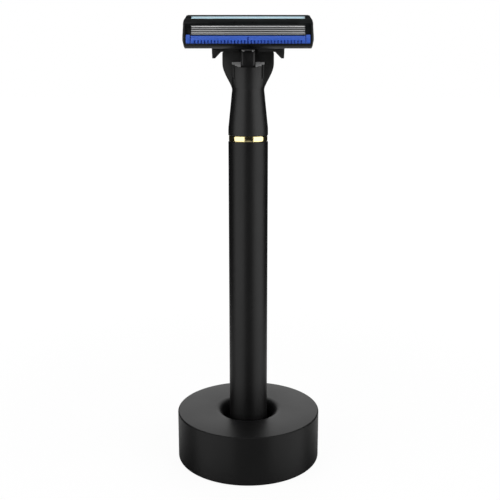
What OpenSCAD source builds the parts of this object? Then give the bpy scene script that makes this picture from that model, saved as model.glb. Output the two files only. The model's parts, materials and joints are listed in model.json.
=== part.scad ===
// Cartridge razor standing in a weighted desk stand.
// Frame: origin at the centre of the stand's underside, +Z up, the blades face -Y, +X is the razor's right.
// Units are millimetres.

/* [Stand] */
// Outside diameter of the stand
stand_d = 49.6; // [46:0.2:54]
// Height of the stand
stand_h = 17.3; // [16:0.1:18.5]
// Diameter of the dished mouth of the well
mouth_d = 24; // [23:0.1:25]
// Radial gap between the handle and the straight part of the well
well_gap = 0.3; // [0.2:0.05:0.5]

/* [Handle] */
// Diameter of the handle tube
handle_d = 13.1; // [12.8:0.1:13.4]
// Length of the handle tube, from the end plug to the gold ring
tube_len = 103; // [80:0.1:125]
// Height of the gold ring
ring_h = 1.8; // [1.4:0.1:2.4]
// Depth that the gold ring is set in below the handle's surface
ring_inset = 0.15; // [0.1:0.05:0.4]
// Diameter of the neck at its waist
waist_d = 10.5; // [10.2:0.1:10.8]

/* [Head] */
// Width of the dock's shoulders
dock_w = 16.7; // [16.2:0.1:17.2]
// Overall width of the yoke that carries the cartridge
yoke_w = 23.4; // [22.8:0.1:24]
// Width of the plunger
plunger_w = 4.3; // [4.3:0.1:4.8]
// Stroke of the release button
release_travel = 4; // [3:0.1:4]

/* [Cartridge] */
// Width of the cartridge
cart_w = 40.8; // [40:0.1:42]
// Angle that the blade face leans back from vertical at rest
lean = 25; // [22:0.5:27]
// Distance from one blade edge to the next
blade_pitch = 0.72; // [0.71:0.01:0.78]
// Angle between a blade and the shaving plane
blade_angle = 24; // [22:0.5:26]
// Distance from one guard fin to the next
fin_pitch = 1.03; // [0.95:0.02:1.15]

/* [Hidden] */
$fn = 64;
eps = 0.01;
slip = 0.03; // gap of an assembled fit between two pieces that stay together

handle_r = handle_d / 2;
waist_r = waist_d / 2;

// Levels along Z
foot_h = 1.3; // thickness of the rubber foot pad
foot_proud = 0.3; // how far the pad stands out below the metal
well_floor = 3.5;
cushion_h = 1;
plug_z = well_floor + cushion_h; // lowest point of the razor
tube_z = plug_z + 3.8;
ring_z = tube_z + tube_len;
neck_z = ring_z + ring_h;
waist_z = neck_z + 14.85;
dock_top = waist_z + 11.95;

// Bores inside the handle
tube_bore_r = handle_r - 1.2;
bore_r = 4.05; // thread bore of the tube and bore of the neck
thread_len = 12; // depth of the thread at the top of the tube
stud_over = 2.3; // length of the stud that stands up into the neck

// Shoulders of the dock and the layers behind them, along Y
plate_front = -0.3;
plate_back = 1.1;
cavity_back = 2.6;
top_slope = 20; // slant of the neck's top face
neck_top_front = dock_top - 5.08; // height of that face at the very front

// Plunger and its spring
plunger_front = -3.4;
plunger_back = -0.6;
plunger_gap = 0.2;
channel = plunger_w / 2 + plunger_gap; // half width of the channel that the plunger slides in
stem_r = 0.9;
stem_y = -2;
head_z = waist_z - 0.75; // underside of the plunger's head, where the spring pushes
spring_r = 1.35;
wire_r = 0.16;
spring_turns = 7;

// Release button and ejector fork
foot_z = neck_z + 2.8; // underside of the fork's foot
foot_t = 1.2;
bar_w = 3; // width of the fork's upright bar
bar_back = 2.3;
bar_front = 1.15;
fork_z = dock_top - 7.5; // underside of the fork's cross piece
fork_t = 1.7;
prong_in = 5.6;
prong_out = 6.6;
web_z = neck_z + 5.3;
web_h = 4;
web_w = 2.6;
pad_y = handle_r + 0.3;
pad_t = 1.5;
pad_z = neck_z + 3.3;
pad_h = 8;
pad_w = 7.2;

// Nose of the dock and the yoke's socket around it
nose_w = 10.4;
nose_h = 2.8;
nose_front = 0.2;
nose_back = 2.2;
yoke_back = 3.3;
yoke_h = 3.3;
arm_in = 8.45; // inner face of the yoke's arms
fang_h = 2.1; // how far the yoke's pointed tabs hang below its crossbar

// Pivot of the cartridge, in the part's frame and in the cartridge's own frame.
// The cartridge's frame has Y into the cartridge from the shaving plane and Z up the face.
pivot_y = -4.4;
pivot_z = dock_top + 2.95;
pivot_in = 5.5;
pivot_up = 4;
pin_r = 0.7;
pin_len = 2;
pin_gap = 0.05;
arm_r = 1.1;
lug_r = 1.5;
lug_in = yoke_w / 2 + 0.2;
lug_w = 2.4;
cam_arm = 2.8; // distance from the pivot to the cam's centre
cam_rise = 20; // angle of the cam above the pivot at rest
cam_r = 0.9;
cam_w = 3.6;

// Cartridge sections, in the cartridge's frame
cart_r = cart_w / 2;
cheek_in = cart_r - 2.67; // inner face of the end cheeks
case_back = 4.2;
cap_back = 2;
beam_front = 2.6; // where the cap's top meets the platform's top beam
face_low = -0.25;
face_h = 10.75;
guard_top = 3.2;
guard_low = 0.4;
guard_end = cart_r - 1.15;
window_low = 3.25;
lip_top = 4.25;
window_top = 6.65;
edge_low = 4; // height of the lowest blade edge
edge_in = 0.18; // how far the blade edges lie behind the shaving plane
blade_t = 0.09;
bevel_len = 0.4; // length of a blade's ground edge
blade_len = 1.3;
support_t = 0.12;
support_len = 1.05;
flange_low = 3.62; // lower edge of the lowest support's front flange
tab_top = 3.55; // top of the guard's end tabs
tab_in = cheek_in + 0.27; // inner end of those tabs
leg_back = 3.2;
blade_end = cheek_in + 0.4;
support_end = cheek_in + 0.3;
blade_slip = 0.04;

black = [0.06, 0.06, 0.065];
satin_black = [0.1, 0.1, 0.105];
gold = [0.93, 0.82, 0.45];
steel = [0.72, 0.73, 0.75];
guard_blue = [0.2, 0.34, 0.72];
strip_blue = [0.73, 0.87, 0.93];
rubber_grey = [0.16, 0.16, 0.17];

// ---------- helpers ----------

// Points of an arc about [cx, cy], from angle a0 to a1
function arc(cx, cy, r, a0, a1, n = 8) =
    [for (i = [0:n]) [cx + r * cos(a0 + (a1 - a0) * i / n), cy + r * sin(a0 + (a1 - a0) * i / n)]];

// A section drawn in Y and Z, run along X from x0 to x1
module along_x(x0, x1) {
    translate([x0, 0, 0]) rotate([90, 0, 90]) linear_extrude(x1 - x0) children();
}

// An outline drawn in X and Z, run along Y from y0 to y1
module along_y(y0, y1) {
    translate([0, y1, 0]) rotate([90, 0, 0]) linear_extrude(y1 - y0) children();
}

// A box from its low and high corners
module block(low, high) {
    translate(low) cube(high - low);
}

module both_sides() {
    children();
    mirror([1, 0, 0]) children();
}

module ring(r_out, r_in, z0, z1) {
    translate([0, 0, z0]) difference() {
        cylinder(r = r_out, h = z1 - z0);
        translate([0, 0, -1]) cylinder(r = r_in, h = z1 - z0 + 2);
    }
}

// ---------- stand ----------

module stand_body() {
    r = stand_d / 2;
    edge = 0.5;
    well_r = handle_r + well_gap;
    lip = 3.6; // radius that the mouth is rounded with
    mouth_r = mouth_d / 2;
    throat_r = mouth_r - lip;
    color(satin_black) rotate_extrude() polygon(concat(
        [[0, foot_h], [r - 2.2, foot_h], [r - 2.2, foot_proud]],
        arc(r - edge, foot_proud + edge, edge, -90, 0, 5),
        arc(r - edge, stand_h - edge, edge, 0, 90, 6),
        arc(mouth_r, stand_h - lip, lip, 90, 180, 8),
        [[throat_r, stand_h - lip - 1], [well_r, stand_h - 7], [well_r, well_floor], [0, well_floor]]
    ));
}

module stand_foot_pad() {
    r = stand_d / 2 - 2.2 - slip;
    color(rubber_grey) rotate_extrude() polygon(concat(
        [[0, 0]],
        arc(r - 0.25, 0.25, 0.25, -90, 0, 3),
        [[r, foot_h], [0, foot_h]]
    ));
}

module well_cushion() {
    color(rubber_grey) translate([0, 0, well_floor]) cylinder(r = handle_r, h = cushion_h);
}

// ---------- handle ----------

module handle_tube() {
    bevel = 0.2;
    top = ring_z;
    color(black) rotate_extrude() polygon([
        [tube_bore_r, tube_z], [handle_r - bevel, tube_z], [handle_r, tube_z + bevel],
        [handle_r, top - bevel], [handle_r - bevel, top],
        [bore_r, top], [bore_r, top - thread_len], [tube_bore_r, top - thread_len - 1.2]
    ]);
}

module end_plug() {
    round_r = 3;
    spigot_r = tube_bore_r - slip;
    color(black) rotate_extrude() polygon(concat(
        [[0, plug_z]],
        arc(handle_r - round_r, plug_z + round_r, round_r, -90, 0, 10),
        [[handle_r, tube_z - 0.2], [handle_r - 0.2, tube_z], [spigot_r, tube_z],
         [spigot_r, tube_z + 5.5], [spigot_r - 0.5, tube_z + 6], [0, tube_z + 6]]
    ));
}

module weight_rod() {
    color(steel) translate([0, 0, tube_z + 6.5]) cylinder(r = tube_bore_r - slip, h = 55);
}

module coupling_stud() {
    z0 = ring_z - thread_len + 1;
    z1 = neck_z + stud_over;
    major = bore_r - 0.05;
    minor = major - 0.35;
    pitch = 1;
    turns = floor((z1 - z0 - 1) / pitch);
    crests = [for (i = [0:turns - 1]) each [
        [minor, z0 + 0.5 + i * pitch], [major, z0 + 0.5 + (i + 0.4) * pitch],
        [major, z0 + 0.5 + (i + 0.6) * pitch]]];
    color(steel) rotate_extrude() polygon(concat(
        [[0, z0], [minor, z0]], crests, [[minor, z1 - 0.1], [minor, z1], [0, z1]]
    ));
}

module accent_ring() {
    r = handle_r - ring_inset;
    bevel = 0.15;
    color(gold) rotate_extrude() polygon([
        [bore_r, ring_z], [r - bevel, ring_z], [r, ring_z + bevel],
        [r, neck_z - bevel], [r - bevel, neck_z], [bore_r, neck_z]
    ]);
}

// Everything in front of and below the slanted top face of the neck
module below_top_face() {
    front = -handle_r - 1;
    rise = (plate_back - front) * tan(top_slope);
    z = neck_top_front - (-waist_r - front) * tan(top_slope);
    along_x(-handle_r - 1, handle_r + 1)
        polygon([[front, neck_z - 1], [plate_back, neck_z - 1], [plate_back, z + rise], [front, z]]);
}

// The neck above its waist: its sides fill out from round until they run straight back
module neck_front() {
    fill = 0.95;
    intersection() {
        translate([0, fill - 0.15, waist_z]) cylinder(r = waist_r + 0.8, h = dock_top - waist_z);
        block([-waist_r, -handle_r, waist_z], [waist_r, 0, dock_top]);
        rotate_extrude() polygon([
            [0, waist_z], [waist_r, waist_z], [waist_r + fill, waist_z + 3.5],
            [waist_r + fill, dock_top], [0, dock_top]
        ]);
    }
}

// Cuts that leave a slanted rail down each front corner of the neck and fade out above its waist
module rail_cuts() {
    reach = handle_r + 1;
    low = waist_z + 1.2;
    both_sides() intersection() {
        translate([0, 0, waist_z]) linear_extrude(dock_top - waist_z + 1) polygon([
            [4.3, -reach], [4.3, -2.6], [4.6, -2.6], [4.65, -2.8],
            [waist_r, -2.55], [reach, -2.55], [reach, -reach]
        ]);
        along_x(0, reach) polygon([
            [-reach, low], [-waist_r, low], [-2.3, low + 3], [-2.3, dock_top + 1], [-reach, dock_top + 1]
        ]);
    }
}

module neck_shell() {
    bevel = 0.2;
    top = dock_top;
    color(black) difference() {
        union() {
            rotate_extrude() polygon([
                [0, neck_z], [handle_r - bevel, neck_z], [handle_r, neck_z + bevel],
                [handle_r, neck_z + 1.9], [handle_r - 0.03, neck_z + 2.7], [handle_r - 0.13, neck_z + 3.6],
                [waist_r + 0.12, waist_z - 1.2], [waist_r + 0.03, waist_z - 0.5],
                [waist_r, waist_z], [0, waist_z]
            ]);
            neck_front();
        }
        translate([0, 0, neck_z - 1]) cylinder(r = bore_r, h = top - neck_z + 2);
        // the dock's shoulders take the place of the neck's rear above the waist
        block([-handle_r, plate_front, waist_z], [handle_r, handle_r, top + 1]);
        // slanted top face
        difference() {
            block([-handle_r, -handle_r, waist_z + 1], [handle_r, plate_front + eps, top + 1]);
            below_top_face();
        }
        // level notch in front of the plunger
        block([-channel, -handle_r, neck_top_front], [channel, plunger_front, top + 1]);
        rail_cuts();
        // slot for the release button's web
        block([-web_w / 2 - 0.35, 0, web_z - 0.4],
            [web_w / 2 + 0.35, handle_r + 1, web_z + web_h + release_travel + 0.4]);
        dock_pin_hole();
    }
}

// ---------- dock ----------

pin_z = waist_z - 3.6;
pin_y = 0.2;
cross_r = 0.5;

module dock_pin_hole() {
    translate([-handle_r - 1, pin_y, pin_z]) rotate([0, 90, 0])
        cylinder(r = cross_r + 0.02, h = 2 * handle_r + 2);
}

module dock_pin() {
    half = waist_r + 0.3;
    color(steel) translate([-half, pin_y, pin_z]) rotate([0, 90, 0]) cylinder(r = cross_r, h = 2 * half);
}

shoulder_h = 8.3; // height over which the shoulders widen

// Half width of the shoulders at a height above the waist
function shoulder(z) =
    let (t = pow(min(1, z / shoulder_h), 0.82))
    waist_r + (dock_w / 2 - waist_r) * t * t * (3 - 2 * t);

// Outline of the shoulders, drawn in X and Z and inset by d
module shoulder_outline(d = 0) {
    steps = 14;
    side = [for (i = [0:steps]) let (z = shoulder_h * i / steps) [shoulder(z) - d, waist_z + z]];
    corner = 0.6;
    top = concat(arc(dock_w / 2 - d - corner, dock_top - corner, corner, 0, 90, 4));
    right = concat(side, top);
    polygon(concat(right, [for (i = [len(right) - 1:-1:0]) [-right[i][0], right[i][1]]]));
}

module dock_body() {
    shank_z = foot_z + foot_t + 0.2;
    slot_top = foot_z + foot_t + release_travel + 0.4;
    color(black) difference() {
        union() {
            along_y(plate_front, plate_back) shoulder_outline();
            intersection() {
                translate([0, 0, shank_z]) cylinder(r = bore_r - slip, h = dock_top - shank_z);
                difference() {
                    below_top_face();
                    block([-handle_r, plate_back - eps, waist_z], [handle_r, handle_r, dock_top]);
                }
            }
            // rear half of the shank, below the shoulders
            intersection() {
                translate([0, 0, shank_z]) cylinder(r = bore_r - slip, h = waist_z - shank_z);
                block([-handle_r, 0, shank_z], [handle_r, handle_r, waist_z]);
            }
            // nose that the yoke's socket slides over
            block([-nose_w / 2, nose_front, dock_top - 0.5], [nose_w / 2, plate_back, dock_top + nose_h]);
            block([-nose_w / 2, plate_back - eps, dock_top], [nose_w / 2, nose_back, dock_top + nose_h]);
        }
        // channel that the plunger slides in
        block([-channel, -handle_r, shank_z - 1], [channel, plunger_back + plunger_gap, dock_top + 1]);
        // channel of the fork's bar, behind the web
        block([-bar_w / 2 - 0.15, bar_front - 0.15, shank_z - 1],
            [bar_w / 2 + 0.15, handle_r, waist_z + eps]);
        // slot that lets the fork's foot rise
        block([-2.05, plunger_back, shank_z - 1], [2.05, bar_front + 0.4, slot_top]);
        dock_pin_hole();
    }
}

module dock_cover() {
    back_r = 13;
    tilt = 7.5;
    cav = prong_out + 0.12;
    y1 = cavity_back;
    color(black) difference() {
        intersection() {
            along_y(plate_back, handle_r) shoulder_outline();
            // rounded back that runs out level with the neck
            translate([0, waist_r + 0.02 - back_r, waist_z]) rotate([tilt, 0, 0])
                translate([0, 0, -5]) cylinder(r = back_r, h = 25, $fn = 96);
            translate([0, 0, waist_z]) cylinder(r1 = waist_r, r2 = waist_r + 8.5, h = 14);
        }
        // room for the fork's bar, cross piece and prongs over their stroke
        block([-bar_w / 2 - 0.15, 0, waist_z - 1], [bar_w / 2 + 0.15, y1, fork_z]);
        block([-cav, 0, fork_z - 0.2], [cav, y1, fork_z + fork_t + release_travel + 0.2]);
        both_sides() block([prong_in - 0.12, 0, fork_z], [cav, y1, dock_top + 1]);
    }
}

// ---------- plunger, spring and release ----------

module plunger() {
    w = plunger_w / 2;
    bevel = 0.5;
    shoulder_z = dock_top + 0.45; // where the front of the head steps back
    step = 0.6; // slanted edge of the head's two shoulders
    tip_z = pivot_z + cam_arm * sin(cam_rise) - cam_r - 0.02;
    color(black) {
        difference() {
            translate([0, 0, head_z]) linear_extrude(tip_z - head_z) polygon([
                [-w, plunger_back], [w, plunger_back], [w, plunger_front + bevel],
                [w - bevel, plunger_front], [-w + bevel, plunger_front], [-w, plunger_front + bevel]
            ]);
            // the upper finger is shallower than the head
            block([-w - 1, plunger_front - 1, shoulder_z], [w + 1, -2.9, tip_z + 1]);
            both_sides() block([1.7, plunger_front - 1, shoulder_z], [w + 1, plunger_back + 1, tip_z + 1]);
            along_x(-w - 1, w + 1) polygon([
                [plunger_front - 1, shoulder_z - step - 1], [plunger_front + step, shoulder_z + eps],
                [plunger_front + step, shoulder_z + 1], [plunger_front - 1, shoulder_z + 1]
            ]);
            // relief across the front just under the step
            block([-w + 0.95, plunger_front - 1, shoulder_z - 0.9],
                [w - 0.95, plunger_front + 0.45, shoulder_z + 1]);
        }
        translate([0, stem_y, foot_z + foot_t + 1.3])
            cylinder(r = stem_r, h = head_z - foot_z - foot_t - 1.3 + eps);
    }
}

// Wire ring of a coil spring at step i, as points around the wire
function coil_ring(i, n, z0, z1, sides) =
    let (a = 360 * spring_turns * i / n, z = z0 + wire_r + (z1 - z0 - 2 * wire_r) * i / n)
    [for (k = [0:sides - 1]) let (b = 360 * k / sides)
        [(spring_r + wire_r * cos(b)) * cos(a), (spring_r + wire_r * cos(b)) * sin(a), z + wire_r * sin(b)]];

module plunger_spring() {
    sides = 6;
    n = 15 * spring_turns;
    z0 = foot_z + foot_t + 0.01;
    z1 = head_z - 0.01;
    points = [for (i = [0:n]) each coil_ring(i, n, z0, z1, sides)];
    skin = [for (i = [0:n - 1]) for (k = [0:sides - 1])
        [i * sides + k, i * sides + (k + 1) % sides, (i + 1) * sides + (k + 1) % sides, (i + 1) * sides + k]];
    ends = [[for (k = [sides - 1:-1:0]) k], [for (k = [0:sides - 1]) n * sides + k]];
    color(steel) translate([0, stem_y, 0]) polyhedron(points, concat(skin, ends));
}

module ejector_fork() {
    color(satin_black) difference() {
        union() {
            block([-1.85, -3.55, foot_z], [1.85, bar_front + 0.2, foot_z + foot_t]);
            block([-bar_w / 2, bar_front, foot_z], [bar_w / 2, bar_back, fork_z + eps]);
            block([-prong_out, plate_back + 0.1, fork_z], [prong_out, cavity_back - 0.1, fork_z + fork_t]);
            both_sides() block([prong_in, plate_back + 0.1, fork_z],
                [prong_out, cavity_back - 0.1, dock_top - 0.03]);
        }
        translate([0, stem_y, foot_z - 1]) cylinder(r = stem_r + 0.15, h = foot_t + 2);
    }
}

module release_button() {
    ridges = 5;
    corner = 1.4;
    outline = concat(
        arc(pad_w / 2 - corner, pad_z + pad_h - corner, corner, 0, 90, 6),
        arc(-pad_w / 2 + corner, pad_z + pad_h - corner, corner, 90, 180, 6),
        arc(-pad_w / 2 + corner, pad_z + corner, corner, 180, 270, 6),
        arc(pad_w / 2 - corner, pad_z + corner, corner, 270, 360, 6));
    color(satin_black) {
        difference() {
            along_y(pad_y, pad_y + pad_t) polygon(outline);
            // grooves between the grip ridges
            for (i = [0:ridges - 1])
                translate([-pad_w, pad_y + pad_t + 0.35, pad_z + 1.6 + i * 1.2])
                    rotate([0, 90, 0]) cylinder(r = 0.6, h = 2 * pad_w, $fn = 24);
        }
        block([-web_w / 2, bar_back, web_z], [web_w / 2, pad_y + eps, web_z + web_h]);
    }
}

// ---------- yoke ----------

module yoke() {
    half = yoke_w / 2;
    z0 = dock_top;
    tip_w = 0.85;
    arm_low = z0 + 0.25;
    window = 3; // half width of the opening that the plunger and the cam work in
    color(black) {
        difference() {
            union() {
                block([-half, plate_front, z0], [half, yoke_back, z0 + yoke_h]);
                // pointed tabs at both ends
                both_sides() along_y(plate_front, 1.6) polygon([
                    [half - 3, z0 + eps], [half - tip_w - 0.1, z0 - fang_h],
                    [half - 0.1, z0 - fang_h], [half, z0 + eps]
                ]);
                // arms that reach forward to the pivot
                both_sides() along_x(arm_in, half) polygon(concat(
                    arc(pivot_y, pivot_z, arm_r, 90, 250, 10),
                    [[plate_front + 1, arm_low], [plate_front + 1, z0 + yoke_h]]
                ));
            }
            block([-nose_w / 2 - 0.1, nose_front - 0.1, z0 - 1],
                [nose_w / 2 + 0.1, nose_back + 0.1, z0 + nose_h + 0.1]);
            block([-window, plate_front - 1, z0 - 1], [window, nose_front, z0 + yoke_h + 1]);
        }
        both_sides() translate([half - 0.2, pivot_y, pivot_z]) rotate([0, 90, 0])
            cylinder(r = pin_r, h = pin_len + 0.2);
    }
}

// ---------- cartridge ----------

// Puts what is drawn in the cartridge's frame in its place at rest
module at_rest() {
    translate([0, pivot_y, pivot_z]) rotate([-lean, 0, 0]) translate([0, -pivot_in, -pivot_up]) children();
}

// A line of points with its corners cut n times, which rounds it
function eased(p, n) =
    n == 0 ? p : eased(concat(
        [p[0]],
        [for (i = [0:len(p) - 2]) each [0.75 * p[i] + 0.25 * p[i + 1], 0.25 * p[i] + 0.75 * p[i + 1]]],
        [p[len(p) - 1]]
    ), n - 1);

// Front outline of the cartridge, with its cut corners, inset by d
module face_outline(d = 0) {
    r = cart_r - d;
    side = eased([
        [r - 0.65, face_low + d], [r - 0.5, 0.2], [r - 0.2, 1.1], [r, 2],
        [r - 0.1, 5.5], [r - 0.2, 8.05], [r - 0.95, 9.4], [r - 1.6, face_h - d]
    ], 1);
    polygon(concat(side, [for (i = [len(side) - 1:-1:0]) [-side[i][0], side[i][1]]]));
}

// Section of the seat and top edge behind the lubricating strip
strip_low = [0.06, 8.9];
strip_high = [0.84, 10.05];

// Section of one blade whose edge is at height z: a thin strip with a ground edge
module blade_section(z, d = 0) {
    translate([edge_in, z]) rotate(90 - blade_angle) polygon([
        [-d, -d], [blade_len + d, -d], [blade_len + d, blade_t + d], [bevel_len, blade_t + d], [-d, 0.02 + d]
    ]);
}

// Section of the bent steel support that a blade is welded to.
// The lowest one has its front edge folded down.
module support_section(k, d = 0) {
    z = edge_z(k);
    t = support_t;
    a = 90 - blade_angle;
    across = [-sin(a), cos(a)];
    fold = [edge_in, z] + (blade_len - support_len) * [cos(a), sin(a)] - 0.005 * across;
    foot = [edge_in + blade_len * cos(a), z + blade_len * sin(a)];
    y1 = foot[0] + (t + 0.02) * sin(a);
    translate([edge_in, z]) rotate(a) translate([blade_len - support_len, -t - 0.005])
        polygon([[-d, -d], [support_len + d, -d], [support_len + d, t + d], [-d, t + d]]);
    polygon([[y1 - 0.12, foot[1] - t - 0.05 - d], [leg_back + d, foot[1] - t - 0.05 - d],
        [leg_back + d, foot[1] - 0.05 + d], [y1 - 0.12, foot[1] - 0.05 + d]]);
    if (k == 1)
        polygon([fold - [d, 0], [fold[0] - d, flange_low - d], [fold[0] + t + d, flange_low - d],
            fold - t * across + 0.15 * [cos(a), sin(a)] + [d, 0]]);
}

function edge_z(k) = edge_low + (k - 1) * blade_pitch;

module blade(k) {
    color(steel) at_rest() along_x(-blade_end, blade_end) blade_section(edge_z(k));
}

module blade_support(k) {
    color(steel) at_rest() along_x(-support_end, support_end) support_section(k);
}

// Slots in the end cheeks that hold the blades and their supports
module blade_slots() {
    d = blade_slip;
    for (k = [1:4]) {
        along_x(-blade_end - d, blade_end + d) blade_section(edge_z(k), d);
        along_x(-support_end - d, support_end + d) support_section(k, d);
    }
}

module cartridge_platform() {
    cam_y = pivot_in + cam_arm * cos(cam_rise + lean);
    cam_z = pivot_up + cam_arm * sin(cam_rise + lean);
    ribs = [-13.1, -7.2, -1.4, 1.4, 7.2, 13.1];
    color(black) at_rest() difference() {
        union() {
            intersection() {
                along_y(0, case_back) face_outline(0.05);
                union() {
                    // bottom beam with the guard's seat
                    along_x(-cart_r, cart_r) polygon([
                        [0, face_low], [2, face_low], [case_back, 2.2], [case_back, window_low],
                        [1, window_low], [1, guard_low], [0, guard_low]
                    ]);
                    // lip between the guard and the lowest blade
                    along_x(-cheek_in + 0.05, cheek_in - 0.05) polygon([
                        [1.05, window_low - 0.1], [1.5, window_low - 0.1], [1.35, lip_top], [1.05, lip_top]
                    ]);
                    // end blocks
                    both_sides() along_x(cheek_in, cart_r) polygon([
                        [cap_back, face_low], [case_back, 2.2], [case_back, 9.8], [3.4, 10.7],
                        [beam_front, 10.7], [beam_front, 7.3], [cap_back, 7.3]
                    ]);
                    // top beam behind the cap
                    along_x(-cart_r, cart_r) polygon([
                        [beam_front, 7.3], [case_back, 7.3], [case_back, 9.8], [3.4, 10.7], [beam_front, 10.7]
                    ]);
                    // ribs that the supports stand on
                    for (x = ribs) block([x - 0.4, leg_back, window_low - 0.1], [x + 0.4, case_back, 7.4]);
                }
            }
            // lugs for the yoke's pins
            both_sides() along_x(lug_in, lug_in + lug_w) {
                translate([pivot_in, pivot_up]) circle(r = lug_r);
                translate([case_back - 0.2, pivot_up - lug_r])
                    square([pivot_in - case_back + 0.2, 2 * lug_r]);
            }
            // cam that the plunger pushes on
            along_x(-cam_w / 2, cam_w / 2) {
                translate([cam_y, cam_z]) circle(r = cam_r);
                translate([leg_back + 0.05, cam_z - cam_r]) square([cam_y - leg_back - 0.05, 2 * cam_r]);
            }
        }
        both_sides() translate([lug_in - 0.5, pivot_in, pivot_up]) rotate([0, 90, 0])
            cylinder(r = pin_r + pin_gap, h = lug_w + 1);
        blade_slots();
    }
}

module cartridge_cap() {
    color(black) at_rest() difference() {
        intersection() {
            along_y(-0.2, 3) face_outline();
            union() {
                along_x(-cart_r, cart_r) polygon([
                    [0.28, window_top], [0.02, window_top + 0.25], [-0.06, window_top + 0.9], [-0.08, 8],
                    strip_low - [0.12, 0.12], strip_high - [0.06, -0.05],
                    [0.8, face_h - 0.15], [0.95, face_h - 0.05], [1.6, face_h],
                    [beam_front, face_h], [beam_front, 7.3], [1.6, 7.3]
                ]);
                // end cheeks, cut away where the guard's ends lie
                both_sides() difference() {
                    translate([0, 0, face_low]) linear_extrude(10 - face_low) polygon([
                        [cheek_in, 0], [cart_r - 0.65, 0], [cart_r, 0.35],
                        [cart_r, cap_back], [cheek_in, cap_back]
                    ]);
                    block([cheek_in - 1, -1, -1], [guard_end + 0.05, 3, window_low]);
                    block([tab_in - 0.05, -1, 0], [guard_end + 0.05, 1.02, tab_top + 0.04]);
                    block([guard_end - 1, -1, -1], [cart_r + 1, 3, guard_low]);
                }
            }
        }
        // the platform's lower lip and bottom beam
        block([-cart_r, 1, -1], [cart_r, 3, window_low]);
        // bed of the lubricating strip
        along_x(-cheek_in - slip, cheek_in + slip) strip_section(slip);
        blade_slots();
    }
}

// Section of the lubricating strip, bedded along the cap's sloping top
module strip_section(d = 0) {
    a = atan2(strip_high[1] - strip_low[1], strip_high[0] - strip_low[0]);
    n = norm(strip_high - strip_low);
    translate(strip_low) rotate(a) polygon([[-d, -0.75 - d], [n + d, -0.75 - d], [n + d, 0.12], [-d, 0.12]]);
}

module lube_strip() {
    color(strip_blue) at_rest() along_x(-cheek_in, cheek_in) strip_section();
}

// Section of the guard, with its top at the given height
module guard_section(top) {
    polygon([
        [0.98, guard_low + 0.02], [0.98, top], [0.3, top], [0.02, top - 0.12], [-0.12, top - 0.4],
        [-0.2, 2.2], [-0.16, 1.6], [-0.05, 1.1], [0.15, 0.6], [0.28, guard_low + 0.02]
    ]);
}

module guard_strip() {
    fins = floor(cheek_in / fin_pitch - 0.4);
    half_slit = 0.23;
    color(guard_blue) at_rest() difference() {
        union() {
            along_x(-guard_end, guard_end) guard_section(guard_top);
            both_sides() along_x(tab_in, guard_end) guard_section(tab_top);
        }
        // comb of fins along the lower edge
        for (i = [-fins:fins]) translate([i * fin_pitch, 0, 0])
            block([-half_slit, -1, 0], [half_slit, 0.5, 1.5]);
        // longer slit in the middle, and grooves that set off the plain ends
        block([-half_slit, -1, 0.9], [half_slit, 0.3, 2.6]);
        both_sides() block([tab_in - 0.3, -1, 0], [tab_in, 0.3, 4]);
    }
}

// ---------- assembly ----------

stand_body();
stand_foot_pad();
well_cushion();
handle_tube();
end_plug();
weight_rod();
coupling_stud();
accent_ring();
neck_shell();
dock_body();
dock_cover();
dock_pin();
plunger_spring();
plunger();
ejector_fork();
release_button();
yoke();
cartridge_platform();
cartridge_cap();
lube_strip();
guard_strip();
blade(1);  // blade_1
blade(2);  // blade_2
blade(3);  // blade_3
blade(4);  // blade_4
blade_support(1);  // blade_support_1
blade_support(2);  // blade_support_2
blade_support(3);  // blade_support_3
blade_support(4);  // blade_support_4
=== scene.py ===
"""Looks for the cartridge razor and its stand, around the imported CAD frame.

Gives the pieces fine edges and finishes, and sets up the camera, the light and the floor. Metres, +Z up,
the blades face -Y. Places and sizes come from the boxes of the CAD nodes.
"""
import json
import math

import bmesh
import bpy
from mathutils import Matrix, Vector


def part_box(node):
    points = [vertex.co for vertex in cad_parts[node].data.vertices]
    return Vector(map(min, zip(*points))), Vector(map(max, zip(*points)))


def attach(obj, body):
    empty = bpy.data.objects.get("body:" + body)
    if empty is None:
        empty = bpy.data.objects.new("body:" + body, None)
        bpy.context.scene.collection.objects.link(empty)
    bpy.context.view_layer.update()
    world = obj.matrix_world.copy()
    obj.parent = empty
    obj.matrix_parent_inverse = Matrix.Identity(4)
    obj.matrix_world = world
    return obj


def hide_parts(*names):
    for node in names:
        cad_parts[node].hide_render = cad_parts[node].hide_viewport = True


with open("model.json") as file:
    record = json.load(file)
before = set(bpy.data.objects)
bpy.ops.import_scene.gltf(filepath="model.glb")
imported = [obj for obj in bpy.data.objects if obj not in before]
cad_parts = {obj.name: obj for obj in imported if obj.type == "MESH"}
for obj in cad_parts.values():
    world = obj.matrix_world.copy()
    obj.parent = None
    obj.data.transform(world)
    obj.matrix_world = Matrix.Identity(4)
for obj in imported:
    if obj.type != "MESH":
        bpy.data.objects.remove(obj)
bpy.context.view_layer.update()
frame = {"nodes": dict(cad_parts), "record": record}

MM = 0.001
BODY_OF = {node: body for body, nodes in frame["record"]["behaviour"]["bodies"].items() for node in nodes}

# Camera: near and a little above, so the ring is seen almost level and the stand from well above. Sensor
# and lens in millimetres, and the dip below level in degrees.
SENSOR_WIDTH = 36
LENS = 57
CAMERA_PLACE = (0.6 * MM, -263.2 * MM, 130.4 * MM)
CAMERA_DIP = 12

# Two tall soft panels: azimuth, which is 0 in front of the blades and 90 towards +X, then radiance.
PANELS = {"panel_left": (-55, 1.65), "panel_right": (65, 1.85)}
PANEL_DISTANCE = 0.5
PANEL_HEIGHT = 0.2
PANEL_SIZE = (0.65, 1.0)

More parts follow.
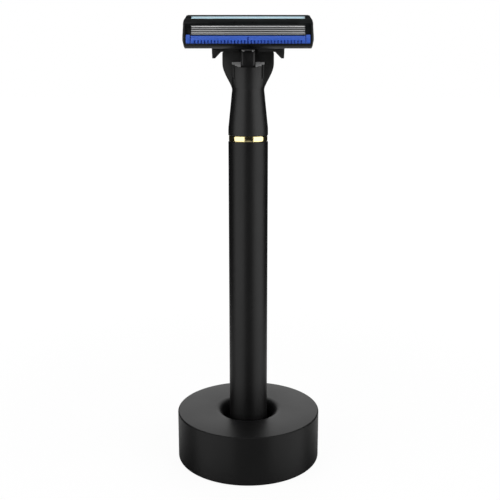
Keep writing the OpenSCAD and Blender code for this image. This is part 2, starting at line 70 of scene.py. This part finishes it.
# Pale areas of the dark room. Angle of the centre, from level behind the razor over the top to level in
# front at 180, then the half angles where the area is full and where it ends, then its level.
BACKDROP = (31, 14, 29, 1.8)
OVERHEAD = (97, 16, 34, 1.0)
FOREGROUND = (222, 18, 36, 0.4)
ROOM_LEVEL = 0.012

# Floor: half its side, its white, and the share of that white which the camera sees near the stand. The
# share grows to 1 over a range of distances from the stand's axis.
FLOOR_HALF = 6
FLOOR_WHITE = 1.04
NEAR_SHARE = 0.9
LIFT_RANGE = (0.1, 0.4)

# The sweep beside and behind the razor, which mirror and transmission rays see. Elsewhere they see the dark
# room. Half the sweep's width, its front edge along Y and the width of its soft rim. Then the distances from
# the stand's axis over which it goes from the pale floor to white, and the area of the world where it goes
# on, in the form of the pale areas above.
SWEEP_HALF = 0.08
SWEEP_FRONT = 0.015
SWEEP_RIM = 0.03
WHITENING_RANGE = (0.04, 0.2)
HORIZON = (0, 12, 20, 1.0)

# Most of a noise texture's values lie in this range.
NOISE_RANGE = (0.3, 0.7)

# Edges. Vertices this close are joined, and faces this level with each other are one. Edges sharper than
# the next angle are rounded, and those sharper than the last one look sharp. Angles in degrees.
JOINED_WITHIN = 0.0005 * MM
LEVEL_WITHIN = 0.5
ROUNDED_ABOVE = 28
SHARP_ABOVE = 38

# Stand, as in the CAD: the gap round its foot pad, its fine edges, the rounding of its mouth, the radius of
# the throat below that, and the gap round the handle. The well starts to narrow a little below the rounding,
# and at a depth below the top it is as narrow as it gets.
FOOT_GAP = 0.05 * MM
STAND_EDGE = 0.5 * MM
LIP = 3.6 * MM
THROAT = 8.4 * MM
WELL_GAP = 0.3 * MM
NARROWS_BELOW_LIP = 1 * MM
NARROW_BELOW_TOP = 7 * MM

# Grey of each blade's ground face, from the lowest blade up: the ground steel's lighter tone, with painted
# light and shade that differs from blade to blade, the top blade lightest.
EDGE_GREY_AND_PAINTED_LIGHT = {"blade_1": 0.42, "blade_2": 0.46, "blade_3": 0.33, "blade_4": 0.74}

# Faces with a material of their own: the least forward part of the normal, then the range of its upward
# part. On a blade these are the ground faces; on the slanted tops and the plunger they get a painted
# highlight.
# The upward part is 0.63 on a blade's ground face and 0.76 on its flat one. It is 0.94 on the slanted top of
# the neck and the dock. Inner faces that slope alike lie further below the fork's tips than this depth.
GROUND_FACE = (0, 0.2, 0.68)
SLANTED_TOP_HIGHLIGHT = (0.2, 0.85, 0.97)
SLANTED_DEPTH = 10 * MM
PLUNGER_SLANT_HIGHLIGHT = (0.5, 0.5, 1)


# ---------- node helpers ----------

def between(tree, value, start, end, low=0, high=1, soft=False):
    """Goes from low, where the value is at start, to high, where it is at end; soft eases both ends."""
    ramp = tree.nodes.new("ShaderNodeMapRange")
    ramp.interpolation_type = "SMOOTHSTEP" if soft else "LINEAR"
    ramp.inputs["From Min"].default_value = start
    ramp.inputs["From Max"].default_value = end
    ramp.inputs["To Min"].default_value = low
    ramp.inputs["To Max"].default_value = high
    tree.links.new(value, ramp.inputs["Value"])
    return ramp.outputs["Result"]


def calculate(tree, operation, *values):
    """A Math node on one or two links."""
    node = tree.nodes.new("ShaderNodeMath")
    node.operation = operation
    for value, socket in zip(values, node.inputs):
        tree.links.new(value, socket)
    return node.outputs["Value"]


def measure(tree, operation, vector, other=(0, 0, 0)):
    """A number from a Vector Math node: a length, or the dot product with the other vector."""
    node = tree.nodes.new("ShaderNodeVectorMath")
    node.operation = operation
    node.inputs[1].default_value = other
    tree.links.new(vector, node.inputs[0])
    return node.outputs["Value"]


def mixed_shader(tree, share, first, second):
    """The second shader in this share, and the first in the rest."""
    mix = tree.nodes.new("ShaderNodeMixShader")
    tree.links.new(share, mix.inputs["Fac"])
    tree.links.new(first, mix.inputs[1])
    tree.links.new(second, mix.inputs[2])
    return mix.outputs["Shader"]


def ray_kinds(tree):
    """Whether a ray comes from the camera, and whether it is a mirror or transmission ray."""
    rays = tree.nodes.new("ShaderNodeLightPath").outputs
    mirrored = calculate(tree, "MAXIMUM", rays["Is Glossy Ray"], rays["Is Transmission Ray"])
    return rays["Is Camera Ray"], mirrored


# ---------- material helpers ----------

def new_material(name, color, roughness, metallic=0.0, specular=0.5):
    """A material, its node tree and its Principled shader. Noise may vary the colour and the roughness."""
    material = bpy.data.materials.new(name)
    material.use_nodes = True
    tree = material.node_tree
    shader = tree.nodes["Principled BSDF"]
    shader.inputs["Base Color"].default_value = (*color, 1)
    shader.inputs["Roughness"].default_value = roughness
    shader.inputs["Metallic"].default_value = metallic
    shader.inputs["Specular IOR Level"].default_value = specular
    return material, tree, shader


def object_points(tree, stretch=(1, 1, 1)):
    """Object coordinates in millimetres, scaled unevenly for grain that runs one way."""
    coordinates = tree.nodes.new("ShaderNodeTexCoord")
    mapping = tree.nodes.new("ShaderNodeMapping")
    mapping.inputs["Scale"].default_value = [s / MM for s in stretch]
    tree.links.new(coordinates.outputs["Object"], mapping.inputs["Vector"])
    return mapping.outputs["Vector"]


def noise(tree, points, per_mm, detail):
    """Noise with so many features to a millimetre."""
    texture = tree.nodes.new("ShaderNodeTexNoise")
    texture.inputs["Scale"].default_value = per_mm
    texture.inputs["Detail"].default_value = detail
    tree.links.new(points, texture.inputs["Vector"])
    return texture.outputs["Fac"]


def vary_roughness(tree, shader, value, low, high):
    """Spreads the roughness over a range by a noise value."""
    tree.links.new(between(tree, value, *NOISE_RANGE, low, high), shader.inputs["Roughness"])


def vary_color(tree, shader, value, dark, light):
    """Spreads the colour between two colours by a noise value."""
    ramp = tree.nodes.new("ShaderNodeValToRGB")
    for element, position, color in zip(ramp.color_ramp.elements, NOISE_RANGE, (dark, light)):
        element.position = position
        element.color = (*color, 1)
    tree.links.new(value, ramp.inputs["Fac"])
    tree.links.new(ramp.outputs["Color"], shader.inputs["Base Color"])


def bump(tree, shader, height, depth_mm):
    """Raises the surface by up to depth_mm where height is 1."""
    node = tree.nodes.new("ShaderNodeBump")
    node.inputs["Distance"].default_value = depth_mm * MM
    tree.links.new(height, node.inputs["Height"])
    tree.links.new(node.outputs["Normal"], shader.inputs["Normal"])


# ---------- materials ----------

def powder_coat():
    """Satin black powder coat: a faint orange peel and slightly uneven sheen."""
    material, tree, shader = new_material("powder_coat", (0.0085, 0.0085, 0.0086), 0.36, specular=0.12)
    points = object_points(tree)
    peel = noise(tree, points, per_mm=1.6, detail=2)
    cloud = noise(tree, points, per_mm=0.08, detail=4)
    vary_roughness(tree, shader, cloud, 0.34, 0.38)
    vary_color(tree, shader, cloud, (0.008, 0.008, 0.0081), (0.009, 0.009, 0.0091))
    bump(tree, shader, peel, 0.006)
    return material


def black_anodised(name, specular):
    """Black anodised aluminium, drawn lengthways: fine streaks, and a gloss that runs along the handle."""
    material, tree, shader = new_material(name, (0.0045, 0.0045, 0.0046), 0.5, specular=specular)
    around = tree.nodes.new("ShaderNodeTangent")
    around.direction_type = "RADIAL"
    around.axis = "Z"
    tree.links.new(around.outputs["Tangent"], shader.inputs["Tangent"])
    shader.inputs["Anisotropic"].default_value = 0.6
    shader.inputs["Anisotropic Rotation"].default_value = 0.25
    streak = noise(tree, object_points(tree, (6, 6, 0.15)), per_mm=1, detail=3)
    smudge = noise(tree, object_points(tree), per_mm=0.12, detail=3)
    vary_roughness(tree, shader, smudge, 0.48, 0.52)
    vary_color(tree, shader, smudge, (0.004, 0.004, 0.0041), (0.005, 0.005, 0.0051))
    bump(tree, shader, streak, 0.0015)
    return material


def painted_highlight_metal():
    """Painted highlight: a light grey, rough metal with fine lines, which stands in for the light that small
    slanted faces catch.
    """
    material, tree, shader = new_material("painted_highlight_metal", (0.58, 0.58, 0.58), 0.6, metallic=0.2)
    lines = noise(tree, object_points(tree, (0.5, 8, 8)), per_mm=1, detail=2)
    vary_roughness(tree, shader, lines, 0.55, 0.65)
    bump(tree, shader, lines, 0.001)
    return material


def gold_plate():
    """Pale polished gold with fine turning lines round the ring."""
    material, tree, shader = new_material("gold_plate", (0.96, 0.82, 0.42), 0.12, metallic=1.0)
    lines = noise(tree, object_points(tree, (0.2, 0.2, 14)), per_mm=1, detail=2)
    vary_roughness(tree, shader, lines, 0.1, 0.15)
    bump(tree, shader, lines, 0.0008)
    return material


def moulded_plastic(name, color, roughness, grain_mm, specular=0.3):
    """Black moulded plastic with a fine sparked grain."""
    material, tree, shader = new_material(name, color, roughness, specular=specular)
    points = object_points(tree)
    grain = noise(tree, points, per_mm=7, detail=2)
    cloud = noise(tree, points, per_mm=0.4, detail=3)
    vary_roughness(tree, shader, cloud, roughness - 0.03, roughness + 0.04)
    vary_color(tree, shader, cloud, [c * 0.8 for c in color], [c * 1.2 for c in color])
    bump(tree, shader, grain, grain_mm)
    return material


def guard_rubber():
    """Soft blue rubber, a little darker in patches."""
    material, tree, shader = new_material("guard_rubber", (0.029, 0.104, 0.53), 0.42)
    points = object_points(tree)
    cloud = noise(tree, points, per_mm=0.7, detail=3)
    grain = noise(tree, points, per_mm=9, detail=2)
    vary_color(tree, shader, cloud, (0.027, 0.098, 0.50), (0.031, 0.110, 0.56))
    bump(tree, shader, grain, 0.004)
    return material


def lubricating_wax():
    """Pale blue lubricating polymer: waxy, faintly streaked along its length."""
    material, tree, shader = new_material("lubricating_wax", (0.61, 0.84, 0.94), 0.38)
    shader.inputs["Subsurface Weight"].default_value = 0.15
    shader.inputs["Subsurface Radius"].default_value = (0.4, 0.6, 0.8)
    shader.inputs["Subsurface Scale"].default_value = 0.5 * MM
    streak = noise(tree, object_points(tree, (0.25, 3, 3)), per_mm=1, detail=4)
    vary_color(tree, shader, streak, (0.57, 0.80, 0.91), (0.65, 0.88, 0.97))
    bump(tree, shader, streak, 0.006)
    return material


def ground_steel(name, grey, roughness):
    """Steel ground or rolled along the blades."""
    material, tree, shader = new_material(name, (grey, grey, grey), roughness, metallic=1.0)
    lines = noise(tree, object_points(tree, (0.12, 9, 9)), per_mm=1, detail=3)
    vary_roughness(tree, shader, lines, roughness - 0.05, roughness + 0.08)
    bump(tree, shader, lines, 0.0015)
    return material


def foot_rubber():
    """Matte black rubber."""
    material, tree, shader = new_material("foot_rubber", (0.022, 0.022, 0.022), 0.75)
    points = object_points(tree)
    cloud = noise(tree, points, per_mm=0.3, detail=3)
    grain = noise(tree, points, per_mm=4, detail=2)
    vary_color(tree, shader, cloud, (0.018, 0.018, 0.018), (0.028, 0.028, 0.028))
    bump(tree, shader, grain, 0.01)
    return material


def floor_material():
    """Pale, and lifted to white for the camera, but less so near the stand, where it keeps a soft shadow.

    Mirror and transmission rays see it on the sweep, and pass the rest of it.
    """
    material, tree, shader = new_material("pale_floor", (0.8, 0.8, 0.8), 0.8, specular=0.0)
    pale = shader.outputs["BSDF"]
    emission = tree.nodes.new("ShaderNodeEmission")
    emission.inputs["Strength"].default_value = FLOOR_WHITE
    white = emission.outputs["Emission"]
    clear = tree.nodes.new("ShaderNodeBsdfTransparent").outputs["BSDF"]

    place = tree.nodes.new("ShaderNodeTexCoord").outputs["Object"]
    from_stand = measure(tree, "LENGTH", place)
    axes = tree.nodes.new("ShaderNodeSeparateXYZ")
    tree.links.new(place, axes.inputs["Vector"])
    aside = calculate(tree, "ABSOLUTE", axes.outputs["X"])
    within_sides = between(tree, aside, SWEEP_HALF + SWEEP_RIM, SWEEP_HALF)
    behind_front = between(tree, axes.outputs["Y"], SWEEP_FRONT - SWEEP_RIM, SWEEP_FRONT)
    on_sweep = calculate(tree, "MULTIPLY", within_sides, behind_front)

    from_camera, mirrored = ray_kinds(tree)
    lift = calculate(tree, "MULTIPLY", from_camera, between(tree, from_stand, *LIFT_RANGE, NEAR_SHARE, 1))
    seen = mixed_shader(tree, lift, pale, white)
    sweep = mixed_shader(tree, between(tree, from_stand, *WHITENING_RANGE), pale, white)
    reflection = mixed_shader(tree, on_sweep, clear, sweep)
    surface = mixed_shader(tree, mirrored, seen, reflection)
    tree.links.new(surface, tree.nodes["Material Output"].inputs["Surface"])
    return material


# ---------- mesh helpers ----------

def add_object(name, data):
    """A new object in the scene: a mesh, a lamp or a camera."""
    thing = bpy.data.objects.new(name, data)
    bpy.context.scene.collection.objects.link(thing)
    return thing


def smooth(mesh):
    """Smooth shading, apart from the sharp edges."""
    mesh.polygons.foreach_set("use_smooth", [True] * len(mesh.polygons))
    mesh.set_sharp_from_angle(angle=math.radians(SHARP_ABOVE))


def stand_for(piece, node, material):
    """The piece takes a CAD node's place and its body."""
    piece.data.materials.clear()
    piece.data.materials.append(material)
    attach(piece, BODY_OF[node])
    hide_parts(node)
    return piece


def face_material(mesh, material, facing, above=0):
    """A second material, for the faces above a height whose normal lies within the limits of facing."""
    forward, low, high = facing
    mesh.materials.append(material)
    index = len(mesh.materials) - 1
    for face in mesh.polygons:
        if face.center.z > above and -face.normal.y > forward and low < face.normal.z < high:
            face.material_index = index


def arc(center_r, center_z, radius, start, end, steps):
    """Points of an arc as (radius, height) pairs in metres; angles in degrees."""
    angles = [math.radians(start + (end - start) * i / steps) for i in range(steps + 1)]
    return [(center_r + radius * math.cos(a), center_z + radius * math.sin(a)) for a in angles]


def lathe(name, profile, segments):
    """A solid turned about Z from (radius, height) points that start and end on the axis."""
    mesh = bpy.data.meshes.new(name)
    bm = bmesh.new()
    turn = [2 * math.pi * i / segments for i in range(segments)]
    rings = []
    for radius, height in profile:
        angles = turn if radius > 0 else [0]
        rings.append([bm.verts.new((radius * math.cos(a), radius * math.sin(a), height)) for a in angles])
    for low, high in zip(rings, rings[1:]):
        for i in range(segments):
            j = (i + 1) % segments
            corners = [low[i % len(low)], low[j % len(low)], high[j % len(high)], high[i % len(high)]]
            bm.faces.new(list(dict.fromkeys(corners)))
    bmesh.ops.recalc_face_normals(bm, faces=bm.faces)
    bm.to_mesh(mesh)
    bm.free()
    smooth(mesh)
    return add_object(name, mesh)


def softened(node, radius_mm, steps=2):
    """A copy of a CAD node with its sharp edges rounded."""
    name = node + "_finished"
    mesh = frame["nodes"][node].data.copy()
    mesh.name = name
    bm = bmesh.new()
    bm.from_mesh(mesh)
    bmesh.ops.remove_doubles(bm, verts=bm.verts, dist=JOINED_WITHIN)
    bmesh.ops.dissolve_limit(bm, angle_limit=math.radians(LEVEL_WITHIN), verts=bm.verts, edges=bm.edges)
    bm.to_mesh(mesh)
    bm.free()
    piece = add_object(name, mesh)
    modifier = piece.modifiers.new("edges", "BEVEL")
    modifier.width = radius_mm * MM
    modifier.segments = steps
    modifier.limit_method = "ANGLE"
    modifier.angle_limit = math.radians(ROUNDED_ABOVE)
    evaluated = piece.evaluated_get(bpy.context.evaluated_depsgraph_get())
    finished = bpy.data.meshes.new_from_object(evaluated)
    piece.modifiers.clear()
    piece.data = finished
    smooth(finished)
    return piece


# ---------- camera, light and floor ----------

def camera():
    """The camera, which looks along +Y and a little down."""
    data = bpy.data.cameras.new("camera")
    data.sensor_width = SENSOR_WIDTH
    data.lens = LENS
    eye = add_object("camera", data)
    eye.location = CAMERA_PLACE
    eye.rotation_euler = (math.radians(90 - CAMERA_DIP), 0, 0)
    bpy.context.scene.camera = eye


def panel(name, azimuth, radiance):
    """A tall soft panel that faces the razor's axis. The camera doesn't see it."""
    turn = math.radians(azimuth)
    light = bpy.data.lights.new(name, "AREA")
    light.shape = "RECTANGLE"
    light.size, light.size_y = PANEL_SIZE
    light.energy = radiance * math.pi * math.prod(PANEL_SIZE)
    lamp = add_object(name, light)
    lamp.location = (math.sin(turn) * PANEL_DISTANCE, -math.cos(turn) * PANEL_DISTANCE, PANEL_HEIGHT)
    to_axis = Vector((0, 0, PANEL_HEIGHT)) - lamp.location
    lamp.rotation_euler = to_axis.to_track_quat("-Z", "Y").to_euler()
    lamp.visible_camera = False


def pale_area(tree, direction, area, outside=ROOM_LEVEL):
    """Brightness of a round area by direction: full in its middle, soft at its edge."""
    angle, inner, outer, level = area
    rise = math.radians(angle)
    nearness = measure(tree, "DOT_PRODUCT", direction, (0, math.cos(rise), math.sin(rise)))
    edge = math.cos(math.radians(outer))
    full = math.cos(math.radians(inner))
    return between(tree, nearness, edge, full, outside, level, soft=True)


def studio_world():
    """White to the camera, and to mirror rays where the sweep goes on. The rest is a dark room."""
    world = bpy.data.worlds.new("studio")
    bpy.context.scene.world = world
    world.use_nodes = True
    tree = world.node_tree
    direction = tree.nodes.new("ShaderNodeTexCoord").outputs["Generated"]
    room = pale_area(tree, direction, BACKDROP)
    for area in (OVERHEAD, FOREGROUND):
        room = calculate(tree, "MAXIMUM", room, pale_area(tree, direction, area))
    from_camera, mirrored = ray_kinds(tree)
    on_sweep = calculate(tree, "MULTIPLY", mirrored, pale_area(tree, direction, HORIZON, outside=0))
    seen = tree.nodes.new("ShaderNodeMix")
    tree.links.new(calculate(tree, "MAXIMUM", from_camera, on_sweep), seen.inputs["Factor"])
    tree.links.new(room, seen.inputs["A"])
    seen.inputs["B"].default_value = 1
    background = tree.nodes["Background"]
    background.inputs["Color"].default_value = (1, 1, 1, 1)
    tree.links.new(seen.outputs["Result"], background.inputs["Strength"])


def floor():
    """A flat square under the stand."""
    mesh = bpy.data.meshes.new("floor")
    bm = bmesh.new()
    bmesh.ops.create_grid(bm, x_segments=1, y_segments=1, size=FLOOR_HALF)
    bm.to_mesh(mesh)
    bm.free()
    mesh.materials.append(floor_material())
    add_object("floor", mesh)


# ---------- pieces ----------

def stand():
    """The stand's body: a turned disc with a recess for the foot pad, fine edges and a flared well."""
    low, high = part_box("stand_body")
    radius = high.x
    top = high.z
    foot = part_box("stand_foot_pad")[1]
    recess = foot.x + FOOT_GAP
    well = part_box("handle_tube")[1].x + WELL_GAP
    well_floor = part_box("well_cushion")[0].z
    profile = [(0, foot.z), (recess, foot.z), (recess, low.z)]
    profile += arc(radius - STAND_EDGE, low.z + STAND_EDGE, STAND_EDGE, -90, 0, steps=6)
    profile += arc(radius - STAND_EDGE, top - STAND_EDGE, STAND_EDGE, 0, 90, steps=6)
    profile += arc(THROAT + LIP, top - LIP, LIP, 90, 180, steps=10)
    profile += [(THROAT, top - LIP - NARROWS_BELOW_LIP), (well, top - NARROW_BELOW_TOP)]
    profile += [(well, well_floor), (0, well_floor)]
    stand_for(lathe("stand_shell", profile, segments=256), "stand_body", powder_coat())


def rounded_pieces(satin_plastic):
    """The pieces whose edges are rounded, by the node that each stands for."""
    dock_plastic = moulded_plastic("dock_plastic", (0.01, 0.0102, 0.01), 0.42, 0.004)
    case_plastic = moulded_plastic("case_plastic", (0.0036, 0.0046, 0.0049), 0.3, 0.002, specular=0.2)
    # radius of the edges in millimetres, then the finish
    finishes = {
        "handle_tube": (0.15, black_anodised("black_anodised", 0.33)),
        "end_plug": (0.15, satin_plastic),
        "accent_ring": (0.12, gold_plate()),
        "neck_shell": (0.15, black_anodised("neck_anodised", 0.46)),
        "dock_body": (0.12, dock_plastic),
        "dock_cover": (0.12, dock_plastic),
        "plunger": (0.18, satin_plastic),
        "release_button": (0.2, satin_plastic),
        "yoke": (0.15, dock_plastic),
        "cartridge_platform": (0.08, case_plastic),
        "cartridge_cap": (0.08, case_plastic),
        "lube_strip": (0.1, lubricating_wax()),
        "guard_strip": (0.05, guard_rubber()),
    }
    return {node: stand_for(softened(node, radius_mm), node, material)
            for node, (radius_mm, material) in finishes.items()}


def blades():
    """Blades of rolled steel. Each ground face has a grey of its own: the ground steel's lighter tone, with
    painted light and shade that differs from blade to blade.
    """
    blade_steel = ground_steel("blade_steel", 0.24, 0.55)
    for node, grey in EDGE_GREY_AND_PAINTED_LIGHT.items():
        blade = stand_for(softened(node, radius_mm=0.001, steps=1), node, blade_steel)
        # The ground face's grey holds painted light and shade for this blade.
        face_material(blade.data, ground_steel(node + "_edge", grey, 0.3), GROUND_FACE)


def paint_slant_highlights(pieces):
    """Painted highlight in light grey metal on the slanted top of the neck and the dock, and on the
    plunger's slanted faces.
    """
    # A light grey painted on as a highlight, where these faces would catch light.
    painted_highlight = painted_highlight_metal()
    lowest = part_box("ejector_fork")[1].z - SLANTED_DEPTH
    for node in ("neck_shell", "dock_body"):
        face_material(pieces[node].data, painted_highlight, SLANTED_TOP_HIGHLIGHT, above=lowest)
    face_material(pieces["plunger"].data, painted_highlight, PLUNGER_SLANT_HIGHLIGHT)


def finish_nodes(nodes, material):
    """Gives a material to CAD nodes that keep their own shape."""
    for node in nodes:
        mesh = frame["nodes"][node].data
        mesh.materials.clear()
        mesh.materials.append(material)


def main():
    """Camera, light and floor, then the pieces from the stand up, then the nodes that stay as they are."""
    camera()
    for name, (azimuth, radiance) in PANELS.items():
        panel(name, azimuth, radiance)
    studio_world()
    floor()

    satin_plastic = moulded_plastic("satin_plastic", (0.012, 0.012, 0.0123), 0.34, 0.002)
    stand()
    pieces = rounded_pieces(satin_plastic)
    blades()
    paint_slant_highlights(pieces)

    finish_nodes(["stand_foot_pad", "well_cushion"], foot_rubber())
    finish_nodes(["ejector_fork"], satin_plastic)
    inner_nodes = ["weight_rod", "coupling_stud", "dock_pin", "plunger_spring"]
    inner_nodes += [f"blade_support_{number}" for number in range(1, 5)]
    finish_nodes(inner_nodes, ground_steel("inner_steel", 0.60, 0.35))


main()
bpy.context.scene.view_settings.view_transform = "Standard"
